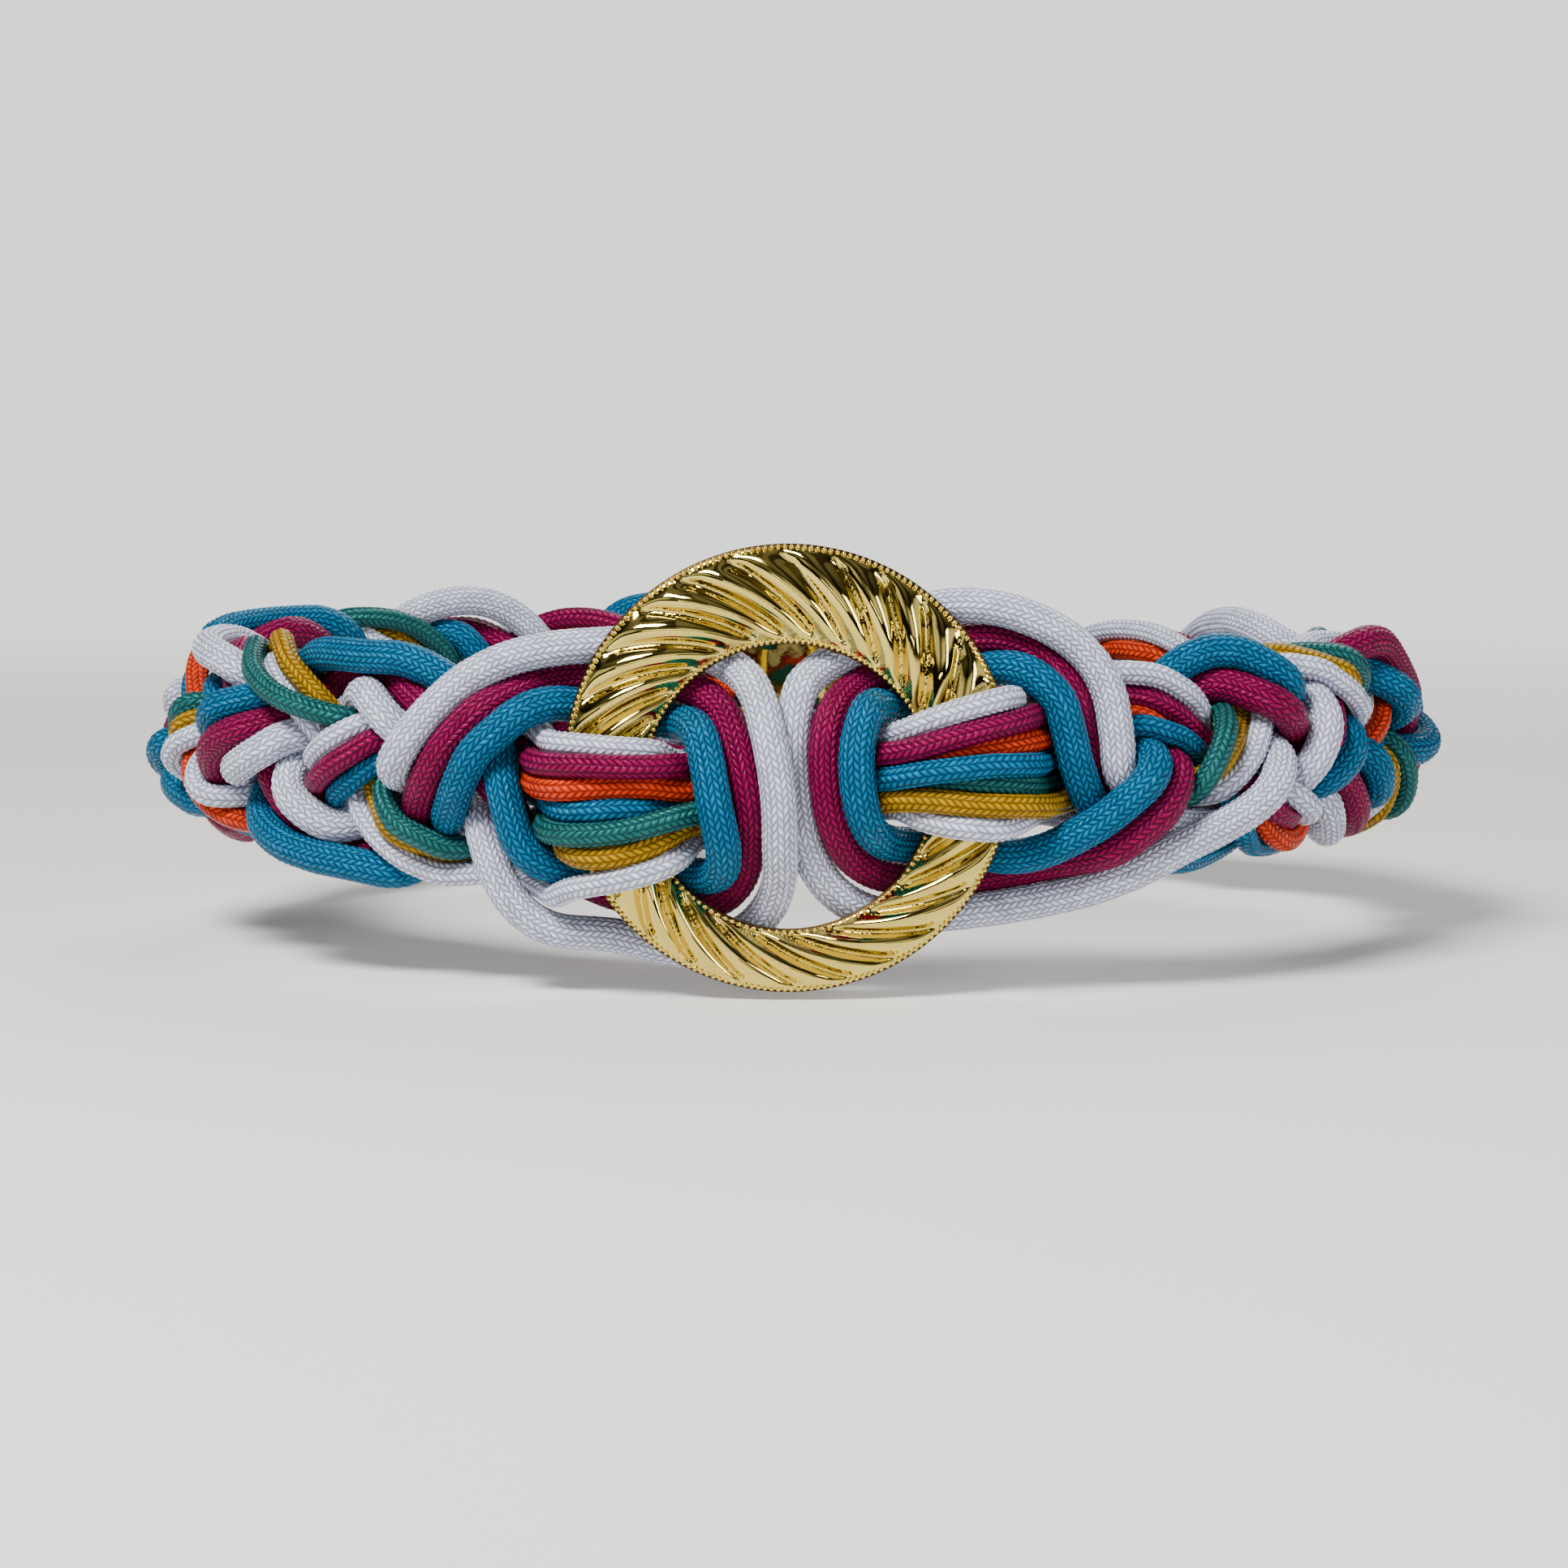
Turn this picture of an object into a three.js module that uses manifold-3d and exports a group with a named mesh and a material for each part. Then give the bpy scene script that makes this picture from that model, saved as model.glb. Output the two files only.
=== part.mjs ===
// A rope belt shown worn: two flat plaits of braided cord join a fluted ring in front and a plain sleeve behind.
// Millimetres, +Z up. The origin is the centre of the waist loop, the ring is at the front (-Y).
import * as THREE from "three";
import { mergeVertices } from "three/addons/utils/BufferGeometryUtils.js";
import Module from "manifold-3d";

// Waist loop: the oval that the belt closes round
const waistWidth = 231;
const waistDepth = 170;
const plaitOut = 10; // centre of the plait, out from the waist

// Cords
const thickCord = 6.8;
const thinCord = 4.6;
const cordGap = 0.35; // clear space between the cords' solids
const stationStep = 12.5; // spacing of the sections along a cord
const settleStep = 7.5; // and of the points while the cords settle
const thickSides = 6;
const thinSides = 5;

// Plait: four strands, each moving down the face and up again in one period of four quarters
const plaitSwing = 10; // how far a strand's centre moves up and down
const plaitHeight = 41; // the packed plait, up and down
const plaitDepth = 20; // and out from the waist
const plaitLift = 3.4; // how far a strand rises or sinks where it crosses another
const weaveTurn = 3; // how fast it changes from over to under
const plaitStartLeft = 78; // distance from the middle where the C1 strand would be at the top edge
const plaitStartRight = 75;
const quartersLeft = 8.75; // quarter periods between that place and the sleeve
const quartersRight = 10.75;
const thickSpread = 5.6; // lateral spacing drawn for the thick cords of a strand
const thinSpread = 4.2;

// Ring
const ringOuter = 89;
const ringHole = 56.6;
const ringHoleDrop = 3.7; // the hole's centre lies below the rim's centre
const ringThickness = 5.6;
const ringRim = 2.2; // height of the rim at both edges
const ringBack = 8; // the ring's flat back, out from the waist
const ringTilt = 4; // degrees, top towards the waist
const ringUp = 1;
const fluteCount = 26;
const fluteSteps = 4; // facets along the ring in one flute
const fluteDepth = 0.9;
const fluteSwirl = 30; // degrees that a flute turns between the edges

// Sleeve that holds the cord ends at the back
const sleeveWall = 1.6;
const sleeveBack = 0.6; // space between the waist and the sleeve
const sleeveWeb = 4;
const pocketDepth = 9.2;
const pocketCorner = 3;
const tailStations = 3; // stations of a cord's straight tail
const endSeat = 0.35; // gap from a cord's end to the web
const pocketPlay = 0.9; // space between the outer cords and the pocket's wall
const mouthReach = 8; // the cords stay straight this far outside the pocket
const gather = 30; // length over which the plait narrows into the pocket

const white = { colour: 0xd8d5de, roughness: 0.5 };
const magenta = { colour: 0x9b0558, roughness: 0.5 };
const blue = { colour: 0x0f7da5, roughness: 0.5 };
const orange = { colour: 0xd74b19, roughness: 0.5 };
const teal = { colour: 0x37918a, roughness: 0.5 };
const yellow = { colour: 0xcda52d, roughness: 0.5 };
const gold = { colour: 0xc8af5f, roughness: 0.2, metalness: 1 };

// Routes of the strands from the ring to the plait. at = distance from the middle along the belt,
// up = height, out = distance out from the waist. The U and L strands are the two legs of the doubled
// thick cords and start at the bight inside the ring. C1 and C2 cross the whole front.
// sunk = cords that lie in a deeper layer there, and by how much.
const routes = {
  left: {
    U: [
      { at: 10.5, up: -6, out: 14.5, sunk: { magenta: 4.5 } },
      { at: 13, up: 4, out: 14, sunk: { magenta: 4.5 } },
      { at: 20, up: 14, out: 9, sunk: { magenta: 2 } },
      { at: 30, up: 18, out: 4.2 },
      { at: 42, up: 18, out: 6 },
      { at: 52, up: 16, out: 11 },
      { at: 61, up: 12, out: 15 },
      { at: 70, up: 6, out: 15 },
      { at: 79, up: -1, out: 12 },
    ],
    L: [
      { at: 10.5, up: -6, out: 14.5, sunk: { magenta: 4.5 } },
      { at: 9.8, up: -15, out: 13, sunk: { magenta: 4.5 } },
      { at: 13, up: -22, out: 9, sunk: { magenta: 2 } },
      { at: 22, up: -27, out: 4.2 },
      { at: 35, up: -27, out: 5 },
      { at: 47, up: -21, out: 10, sunk: { magenta: 4 } },
      { at: 56, up: -13, out: 12, sunk: { magenta: 4 } },
      { at: 64, up: -4, out: 9 },
      { at: 74, up: 4, out: 8 },
    ],
    C1: [
      { at: 0, up: 6, out: 5 },
      { at: 12, up: 2, out: 6 },
      { at: 24, up: -2, out: 16, sunk: { magenta: 3, blue: 3 } },
      { at: 36, up: -2.5, out: 19, sunk: { magenta: 3, blue: 3 } },
      { at: 47, up: -1, out: 14, sunk: { magenta: 3, blue: 3 } },
      { at: 57, up: 2, out: 5 },
      { at: 67, up: 6, out: 4 },
    ],
    C2: [
      { at: 0, up: -9, out: 5 },
      { at: 12, up: -11, out: 6 },
      { at: 24, up: -14.5, out: 16, sunk: { yellow: 3 } },
      { at: 35, up: -17, out: 19, sunk: { yellow: 3 } },
      { at: 46, up: -16.5, out: 14, sunk: { yellow: 3 } },
      { at: 57, up: -15, out: 5 },
      { at: 68, up: -12, out: 7 },
    ],
  },
  right: {
    U: [
      { at: 6.5, up: -2, out: 14.5, sunk: { white: 5 } },
      { at: 8.5, up: 9, out: 13, sunk: { white: 5 } },
      { at: 14, up: 17, out: 9, sunk: { white: 3 } },
      { at: 24, up: 25, out: 4.2 },
      { at: 37, up: 29, out: 5 },
      { at: 49, up: 26, out: 10, sunk: { magenta: 4 } },
      { at: 58, up: 20, out: 13, sunk: { magenta: 3 } },
      { at: 65, up: 11, out: 13, sunk: { magenta: 3 } },
      { at: 70, up: 2, out: 9 },
    ],
    L: [
      { at: 6.5, up: -2, out: 14.5, sunk: { white: 5 } },
      { at: 9.5, up: -13, out: 13, sunk: { white: 5 } },
      { at: 16, up: -20, out: 9, sunk: { white: 3 } },
      { at: 27, up: -23, out: 4.2 },
      { at: 42, up: -21, out: 6 },
      { at: 55, up: -18, out: 11 },
      { at: 65, up: -14, out: 15, sunk: { magenta: 3 } },
      { at: 74, up: -8, out: 16, sunk: { magenta: 4 } },
      { at: 82, up: 0, out: 10 },
    ],
    C1: [
      { at: 0, up: 6, out: 5 },
      { at: 12, up: 8, out: 6 },
      { at: 24, up: 7, out: 16, sunk: { orange: 3.5 } },
      { at: 36, up: 7, out: 19, sunk: { orange: 3.5 } },
      { at: 47, up: 8, out: 14, sunk: { orange: 3.5 } },
      { at: 56, up: 9, out: 5 },
      { at: 65, up: 10, out: 6 },
    ],
    C2: [
      { at: 0, up: -9, out: 5 },
      { at: 12, up: -9, out: 6 },
      { at: 24, up: -7, out: 16, sunk: { teal: 3.5 } },
      { at: 36, up: -6.5, out: 19, sunk: { teal: 3.5 } },
      { at: 47, up: -6.5, out: 14, sunk: { teal: 3.5 } },
      { at: 57, up: -9, out: 5 },
      { at: 68, up: -11, out: 3.5 },
    ],
  },
};

// Quarter = when the strand reaches the plait's top edge. Slots = each cord's place across its strand, in
// spreads, + is up where the strand leads away from the ring.
const strands = {
  U: { quarter: -1, slots: { white: 1, magenta: 0, blue: -1 } },
  L: { quarter: 1, slots: { white: -1, magenta: 0, blue: 1 } },
  C1: { quarter: 0, slots: { white_1: 1.5, magenta: 0.5, orange: -0.5, blue: -1.5 } },
  C2: { quarter: 2, slots: { teal: 1, yellow: 0, white_2: -1 } },
};

// Settling: the cords grow from thin lines to full thickness while they push each other aside
const settleRounds = 360;
const growRounds = 240;
const clearPasses = 2; // in each round
const startThickness = 0.15;
const startSpread = 0.3;
// Share of the way to its drawn place that a point moves in a round, and to its neighbours' middle. Thin
// cords are held near their drawn places, so that none slips through another, and full ones are let go.
const hold = {
  front: { pull: [0.15, 0.04], tension: [0.08, 0.2] },
  plait: { pull: [0.15, 0.006], tension: [0.08, 0.45] },
};
const pushStiffness = 0.9; // share of an overlap that a pass takes away
const pairRounds = 12; // rounds between two searches for neighbours
const pairReach = 5; // and how much further than touching it looks
const pairSkip = 3; // segments of one cord nearer than this are not neighbours
const clearingRounds = 600;
const clearEnough = 0.05; // share of the gap that may be missing at the end
const squeeze = 0.25; // share of a cord's excess over the plait's height and depth that a round takes back
const squeezeStart = 84; // distance from the middle where the plait is fully packed

const halfWaist = { x: waistWidth / 2, y: waistDepth / 2 };
const middle = { x: halfWaist.x + plaitOut, y: halfWaist.y + plaitOut };

// Arc length round the oval through the plait's centre, as a table of angle against length
const ovalSteps = 720;
const ovalLength = [0];
for (let i = 1; i <= ovalSteps; i += 1) {
  const angle = ((i - 0.5) / ovalSteps) * Math.PI;
  const speed = Math.hypot(middle.x * Math.cos(angle), middle.y * Math.sin(angle));
  ovalLength.push(ovalLength[i - 1] + (speed * Math.PI) / ovalSteps);
}
const halfLength = ovalLength[ovalSteps];

// The angle from the front, towards +X, at a distance along the belt
function ovalAngle(along) {
  let low = 0;
  let high = ovalSteps;
  while (high - low > 1) {
    const trial = (low + high) >> 1;
    if (ovalLength[trial] > along) high = trial;
    else low = trial;
  }
  const share = (along - ovalLength[low]) / (ovalLength[high] - ovalLength[low]);
  return ((low + share) / ovalSteps) * Math.PI;
}

// A point of the belt: along it from the middle of the front, up, and out from the waist
function beltPoint(side, at, up, out) {
  const angle = ovalAngle(Math.abs(at));
  const turn = side * Math.sign(at || 1) * angle;
  const on = new THREE.Vector3(middle.x * Math.sin(turn), -middle.y * Math.cos(turn), up);
  const normal = new THREE.Vector3(Math.sin(turn) / middle.x, -Math.cos(turn) / middle.y, 0).normalize();
  return on.addScaledVector(normal, out - plaitOut);
}

const sleeveHalf = sleeveWeb / 2 + pocketDepth;
const rowStep = plaitSwing; // spacing of the rows that the plait's formula gives
const plaitEnd = halfLength - sleeveHalf - gather;

// Height and depth of a strand in the plait. On the right a strand going down passes over at both edges,
// on the left under, so the two plaits are mirror images of each other's weave.
function plaitRow(sideName, strand, at) {
  const start = sideName === "left" ? plaitStartLeft : plaitStartRight;
  const quarters = sideName === "left" ? quartersLeft : quartersRight;
  const quarter = (plaitEnd - start) / quarters;
  const angle = (((at - start) / quarter - strand.quarter) * Math.PI) / 2;
  const weave = -Math.cos(4 * angle) * Math.tanh(weaveTurn * Math.sin(angle)) * (sideName === "left" ? -1 : 1);
  return { at, up: plaitSwing * Math.cos(angle), out: plaitOut + plaitLift * weave };
}

// Rows of one strand on one side, from the front to the sleeve
function strandRows(sideName, strandName) {
  const strand = strands[strandName];
  const rows = routes[sideName][strandName].map((row) => ({ ...row }));
  const first = rows[rows.length - 1].at + rowStep;
  for (let at = first; at < plaitEnd; at += rowStep / 2) rows.push(plaitRow(sideName, strand, at));
  return rows;
}

// Places of the cord ends in a pocket: each strand has a cell, in the order in which the plait ends
function pocketCells(sideName) {
  const names = Object.keys(strands);
  const ends = names.map((name) => ({ name, up: plaitRow(sideName, strands[name], plaitEnd).up }));
  ends.sort((a, b) => b.up - a.up);
  const width = (name) => (name === "U" || name === "L" ? thickCord : thinCord) + cordGap;
  const total = ends.reduce((sum, end) => sum + 2 * width(end.name), 0);
  const cells = {};
  let top = total / 2;
  for (const { name } of ends) {
    const size = width(name);
    const slots = Object.entries(strands[name].slots).sort((a, b) => b[1] - a[1]);
    slots.forEach(([cord], i) => {
      const last = slots.length - 1;
      const front = i === 0 || i === last;
      const row = front ? 0.5 : -0.5;
      const up = slots.length === 3 ? [0.5, 0, -0.5][i] : [0.5, 0.5, -0.5, -0.5][i];
      cells[name + cord] = { up: top - size + up * size, out: row * size };
    });
    top -= 2 * size;
  }
  return { cells, total };
}
const cellDepth = 2 * (thickCord + cordGap);
const pocket = {
  left: pocketCells("left"),
  right: pocketCells("right"),
  height: pocketCells("left").total + 2 * pocketPlay,
  depth: cellDepth + 2 * pocketPlay,
};
const sleeveOut = sleeveBack + sleeveWall + pocket.depth / 2;

// One cord's leg through a strand: its drawn points and the compact ones that settling starts from
function cordLeg(sideName, strandName, cordName) {
  const side = sideName === "left" ? -1 : 1;
  const rows = strandRows(sideName, strandName);
  const thick = strandName === "U" || strandName === "L";
  const spread = thick ? thickSpread : thinSpread;
  const across = strands[strandName].slots[cordName];
  const colour = cordName.replace(/_.*/, "");
  const place = (share) =>
    rows.map((row, i) => {
      const before = rows[Math.max(0, i - 1)];
      const after = rows[Math.min(rows.length - 1, i + 1)];
      const heading = new THREE.Vector2(after.at - before.at, after.up - before.up).normalize();
      const shift = across * spread * share;
      const out = row.out - (row.sunk?.[colour] ?? 0);
      return beltPoint(side, row.at - heading.y * shift, row.up + heading.x * shift, out);
    });
  const cell = pocket[sideName].cells[strandName + cordName];
  const tail = [sleeveHalf + mouthReach, sleeveHalf, sleeveWeb / 2 + endSeat].map(
    (x) => new THREE.Vector3(side * x, halfWaist.y + sleeveOut + cell.out, cell.up),
  );
  return { drawn: [...place(1), ...tail], start: [...place(startSpread), ...tail] };
}

// Points at equal steps along a smooth curve through the given ones, with the straight tails kept
function stations(points, count) {
  const curve = new THREE.CatmullRomCurve3(points, false, "centripetal");
  curve.arcLengthDivisions = 1200;
  const spaced = curve.getSpacedPoints(count);
  for (let i = 0; i < tailStations; i += 1) {
    spaced[i] = points[i].clone();
    spaced[count - i] = points[points.length - 1 - i].clone();
  }
  return spaced;
}

function smoothLength(points) {
  return new THREE.CatmullRomCurve3(points, false, "centripetal").getLength();
}

// A whole cord from its two legs, the first one reversed
function wholeCord(name, diameter, look, legA, legB) {
  const join = (key) => [...legA[key].slice(1).reverse(), ...legB[key]];
  const drawn = join("drawn");
  const count = Math.round(smoothLength(drawn) / settleStep);
  const home = stations(drawn, count);
  const points = stations(join("start"), count);
  return { name, radius: diameter / 2, face: diameter === thinCord ? 1 : -1, look, home, points };
}

function drawCords() {
  const cords = [];
  for (const sideName of ["left", "right"]) {
    for (const [cord, look] of Object.entries({ white, magenta, blue })) {
      const legs = ["L", "U"].map((strand) => cordLeg(sideName, strand, cord));
      cords.push(wholeCord(`thick_cord_${sideName}_${cord}`, thickCord, look, ...legs));
    }
  }
  const thinLooks = { white_1: white, magenta, orange, blue, teal, yellow, white_2: white };
  for (const [cord, look] of Object.entries(thinLooks)) {
    const strand = cord in strands.C1.slots ? "C1" : "C2";
    const legs = ["left", "right"].map((sideName) => cordLeg(sideName, strand, cord));
    cords.push(wholeCord(`thin_cord_${cord}`, thinCord, look, ...legs));
  }
  return cords;
}

// Ring: band between two circles whose centres differ in height
const tilt = THREE.MathUtils.degToRad(ringTilt);
const ringPlace = new THREE.Matrix4()
  .makeRotationX(Math.PI / 2 - tilt)
  .setPosition(0, -(halfWaist.y + ringBack), ringUp);
const ringInverse = ringPlace.clone().invert();

// Radius of the hole's edge, seen from the rim's centre
function holeRadius(angle) {
  const inner = ringHole / 2;
  const drop = ringHoleDrop * Math.cos(angle);
  return -ringHoleDrop * Math.sin(angle) + Math.sqrt(inner * inner - drop * drop);
}

// How far a point is outside the ring's band, with the direction out of it, in the ring's own frame.
// Face is 1 for a cord that lies over the band and -1 for one that passes behind it.
function ringClearance(point, face) {
  const flat = Math.hypot(point.x, point.y);
  const inner = holeRadius(Math.atan2(point.y, point.x));
  const across = flat - (inner + ringOuter / 2) / 2;
  const overBand = Math.abs(across) < (ringOuter / 2 - inner) / 2;
  const high = overBand ? face * Math.max(0, face * (point.z - ringThickness / 2)) : point.z - ringThickness / 2;
  const overAcross = Math.abs(across) - (ringOuter / 2 - inner) / 2;
  const overHigh = Math.abs(high) - ringThickness / 2;
  const outside = Math.hypot(Math.max(overAcross, 0), Math.max(overHigh, 0));
  const distance = outside + Math.min(Math.max(overAcross, overHigh), 0);
  let pushAcross = Math.max(overAcross, 0) * Math.sign(across);
  let pushHigh = Math.max(overHigh, 0) * Math.sign(high);
  if (outside === 0) {
    pushAcross = 0;
    pushHigh = face;
  }
  const size = Math.hypot(pushAcross, pushHigh) || 1;
  const push = new THREE.Vector3((point.x / flat) * pushAcross, (point.y / flat) * pushAcross, pushHigh);
  return { distance, push: push.divideScalar(size) };
}

// Nearest points of segments a-b and c-d as shares along each, and the vector from the second to the first
const span = new THREE.Vector3();
const other = new THREE.Vector3();
const offset = new THREE.Vector3();
const clampShare = (value) => Math.min(1, Math.max(0, value));
function nearest(a, b, c, d) {
  span.subVectors(b, a);
  other.subVectors(d, c);
  offset.subVectors(a, c);
  const aa = span.dot(span);
  const bb = other.dot(other);
  const ab = span.dot(other);
  const ao = span.dot(offset);
  const bo = other.dot(offset);
  const cross = aa * bb - ab * ab;
  let s = cross > 1e-9 * aa * bb ? clampShare((ab * bo - ao * bb) / cross) : 0.5;
  let t = (ab * s + bo) / bb;
  if (t < 0 || t > 1) {
    t = clampShare(t);
    s = clampShare((ab * t - ao) / aa);
  }
  offset.addScaledVector(span, s).addScaledVector(other, -t);
  return { s, t, apart: offset };
}

// Pairs of segments near enough to meet soon
function nearPairs(cords) {
  const segments = [];
  cords.forEach((cord, c) => {
    for (let i = 0; i + 1 < cord.points.length; i += 1) segments.push({ cord, c, i });
  });
  const middles = segments.map(({ cord, i }) =>
    new THREE.Vector3().addVectors(cord.points[i], cord.points[i + 1]).multiplyScalar(0.5),
  );
  const pairs = [];
  const reach = (stationStep + thickCord + pairReach) ** 2;
  for (let i = 0; i < segments.length; i += 1) {
    for (let j = i + 1; j < segments.length; j += 1) {
      const same = segments[i].c === segments[j].c;
      if (same && segments[j].i - segments[i].i < pairSkip) continue;
      if (middles[i].distanceToSquared(middles[j]) < reach) pairs.push([segments[i], segments[j]]);
    }
  }
  return pairs;
}

// Moves both ends of a segment so that the place at share s moves by the given vector
function shove(cord, i, s, move, scale) {
  const lastFree = cord.points.length - 1 - tailStations;
  const norm = (1 - s) * (1 - s) + s * s;
  if (i >= tailStations && i <= lastFree) cord.points[i].addScaledVector(move, (scale * (1 - s)) / norm);
  if (i + 1 >= tailStations && i < lastFree) cord.points[i + 1].addScaledVector(move, (scale * s) / norm);
}

// Pushes cords apart where they are nearer than their thickness allows, and returns the worst shortfall
function pushApart(pairs, thickness, stiffness) {
  let worst = 0;
  for (const [first, second] of pairs) {
    const need = (first.cord.radius + second.cord.radius) * thickness + cordGap;
    const { points: p } = first.cord;
    const { points: q } = second.cord;
    const { s, t, apart } = nearest(p[first.i], p[first.i + 1], q[second.i], q[second.i + 1]);
    const distance = apart.length();
    if (distance >= need) continue;
    worst = Math.max(worst, need - distance);
    const move = apart.clone().divideScalar(distance || 1);
    const half = ((need - distance) / 2) * stiffness;
    shove(first.cord, first.i, s, move, half);
    shove(second.cord, second.i, t, move, -half);
  }
  return worst;
}

// How far a point is outside the waist, with the direction out of it
function waistClearance(point) {
  const level = Math.hypot(point.x / halfWaist.x, point.y / halfWaist.y);
  const slope = new THREE.Vector3(point.x / halfWaist.x ** 2, point.y / halfWaist.y ** 2, 0);
  return { outside: ((level - 1) * level) / slope.length(), normal: slope.normalize() };
}

// Keeps the cords outside the waist and clear of the ring
function keepClear(cords, thickness) {
  const local = new THREE.Vector3();
  for (const cord of cords) {
    const radius = cord.radius * thickness + cordGap;
    for (let i = tailStations; i < cord.points.length - tailStations; i += 1) {
      const point = cord.points[i];
      const { outside, normal } = waistClearance(point);
      if (outside < cord.radius * thickness) point.addScaledVector(normal, cord.radius * thickness - outside);
      for (const share of [0, 0.25, 0.5, 0.75]) {
        local.lerpVectors(cord.points[i], cord.points[i + 1], share);
        if (local.y > 0 || Math.abs(local.x) > ringOuter) continue;
        const { distance, push } = ringClearance(local.applyMatrix4(ringInverse), cord.face);
        if (distance >= radius) continue;
        push.transformDirection(ringPlace);
        shove(cord, i, share, push, radius - distance);
      }
    }
  }
}

// Angle from the front, towards either side
function waistAngle(point) {
  return Math.atan2(Math.abs(point.x) / middle.x, -point.y / middle.y);
}

// Moves a point that stands out of the packed plait back towards it
function squeezeIn(point, radius) {
  const high = Math.abs(point.z) + radius - plaitHeight / 2;
  if (high > 0) point.z -= Math.sign(point.z) * high * squeeze;
  const { outside, normal } = waistClearance(point);
  const far = outside + radius - plaitDepth;
  if (far > 0) point.addScaledVector(normal, -far * squeeze);
}

// Draws each free point towards its drawn place and the middle of its neighbours
function relax(cords, grown) {
  const at = ([thin, full]) => THREE.MathUtils.lerp(thin, full, grown);
  for (const cord of cords) {
    const { points, home } = cord;
    for (let i = tailStations; i < points.length - tailStations; i += 1) {
      const centre = new THREE.Vector3().addVectors(points[i - 1], points[i + 1]).multiplyScalar(0.5);
      const packed = waistAngle(points[i]) > ovalAngle(squeezeStart);
      const { pull, tension } = packed ? hold.plait : hold.front;
      points[i].lerp(centre, at(tension));
      points[i].lerp(home[i], at(pull));
      if (packed) squeezeIn(points[i], cord.radius);
    }
  }
}

function settle(cords) {
  let pairs = [];
  for (let round = 0; round < settleRounds; round += 1) {
    const grown = Math.min(1, round / growRounds);
    const thickness = THREE.MathUtils.lerp(startThickness, 1, grown);
    if (round % pairRounds === 0) pairs = nearPairs(cords);
    relax(cords, grown);
    for (let pass = 0; pass < clearPasses; pass += 1) {
      pushApart(pairs, thickness, pushStiffness);
      keepClear(cords, thickness);
    }
  }
  // The settled cords get their final, wider stations and clear each other once more
  for (const cord of cords) cord.points = stations(cord.points, Math.round(smoothLength(cord.points) / stationStep));
  for (let round = 0; round < clearingRounds; round += 1) {
    if (round % pairRounds === 0) pairs = nearPairs(cords);
    keepClear(cords, 1);
    if (pushApart(pairs, 1, 1) < clearEnough * cordGap) break;
  }
}

// Curve that passes through a cord's stations at equal shares
class StationCurve extends THREE.Curve {
  constructor(points) {
    super();
    this.points = points;
  }
  getPoint(share, target = new THREE.Vector3()) {
    const place = share * (this.points.length - 1);
    const i = Math.min(this.points.length - 2, Math.floor(place));
    return target.lerpVectors(this.points[i], this.points[i + 1], place - i);
  }
  getPointAt(share, target) {
    return this.getPoint(share, target);
  }
  getTangentAt(share, target = new THREE.Vector3()) {
    const last = this.points.length - 1;
    const i = Math.round(share * last);
    return target.subVectors(this.points[Math.min(last, i + 1)], this.points[Math.max(0, i - 1)]).normalize();
  }
}

function cordMesh(cord) {
  const sides = cord.radius === thickCord / 2 ? thickSides : thinSides;
  const corners = [];
  for (let i = 0; i < sides; i += 1) {
    const angle = (i / sides) * 2 * Math.PI;
    corners.push(new THREE.Vector2(cord.radius * Math.cos(angle), cord.radius * Math.sin(angle)));
  }
  const geometry = new THREE.ExtrudeGeometry(new THREE.Shape(corners), {
    steps: cord.points.length - 1,
    bevelEnabled: false,
    extrudePath: new StationCurve(cord.points),
  });
  return namedMesh(cord.name, geometry, cord.look);
}

function namedMesh(name, geometry, look) {
  const { colour, roughness, metalness = 0 } = look;
  const mesh = new THREE.Mesh(geometry, new THREE.MeshStandardMaterial({ color: colour, roughness, metalness }));
  mesh.name = name;
  return mesh;
}

// The ring's section: share across the band from the hole to the rim, and height of the face
const ringSection = [
  { across: 0, face: 0 },
  { across: 0, face: ringRim / ringThickness },
  { across: 0.25, face: 0.82 },
  { across: 0.5, face: 1 },
  { across: 0.75, face: 0.82 },
  { across: 1, face: ringRim / ringThickness },
  { across: 1, face: 0 },
];

function ringMesh() {
  const steps = fluteCount * fluteSteps;
  const vertices = [];
  for (let i = 0; i < steps; i += 1) {
    for (const { across, face } of ringSection) {
      const angle = (i / steps) * 2 * Math.PI;
      const inner = holeRadius(angle);
      const radius = inner + (ringOuter / 2 - inner) * across;
      const wave = Math.cos(fluteCount * (angle - THREE.MathUtils.degToRad(fluteSwirl) * across));
      const dip = across * (1 - across) > 0 ? (fluteDepth * (1 - wave)) / 2 : 0;
      vertices.push(radius * Math.cos(angle), radius * Math.sin(angle), face * ringThickness - dip);
    }
  }
  const rows = ringSection.length;
  const index = [];
  for (let i = 0; i < steps; i += 1) {
    for (let j = 0; j < rows; j += 1) {
      const a = i * rows + j;
      const b = i * rows + ((j + 1) % rows);
      const c = ((i + 1) % steps) * rows + ((j + 1) % rows);
      const d = ((i + 1) % steps) * rows + j;
      index.push(a, b, c, a, c, d);
    }
  }
  const geometry = new THREE.BufferGeometry();
  geometry.setAttribute("position", new THREE.Float32BufferAttribute(vertices, 3));
  geometry.setIndex(index);
  geometry.computeVertexNormals();
  const mesh = namedMesh("ring", geometry, gold);
  mesh.applyMatrix4(ringPlace);
  return mesh;
}

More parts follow.
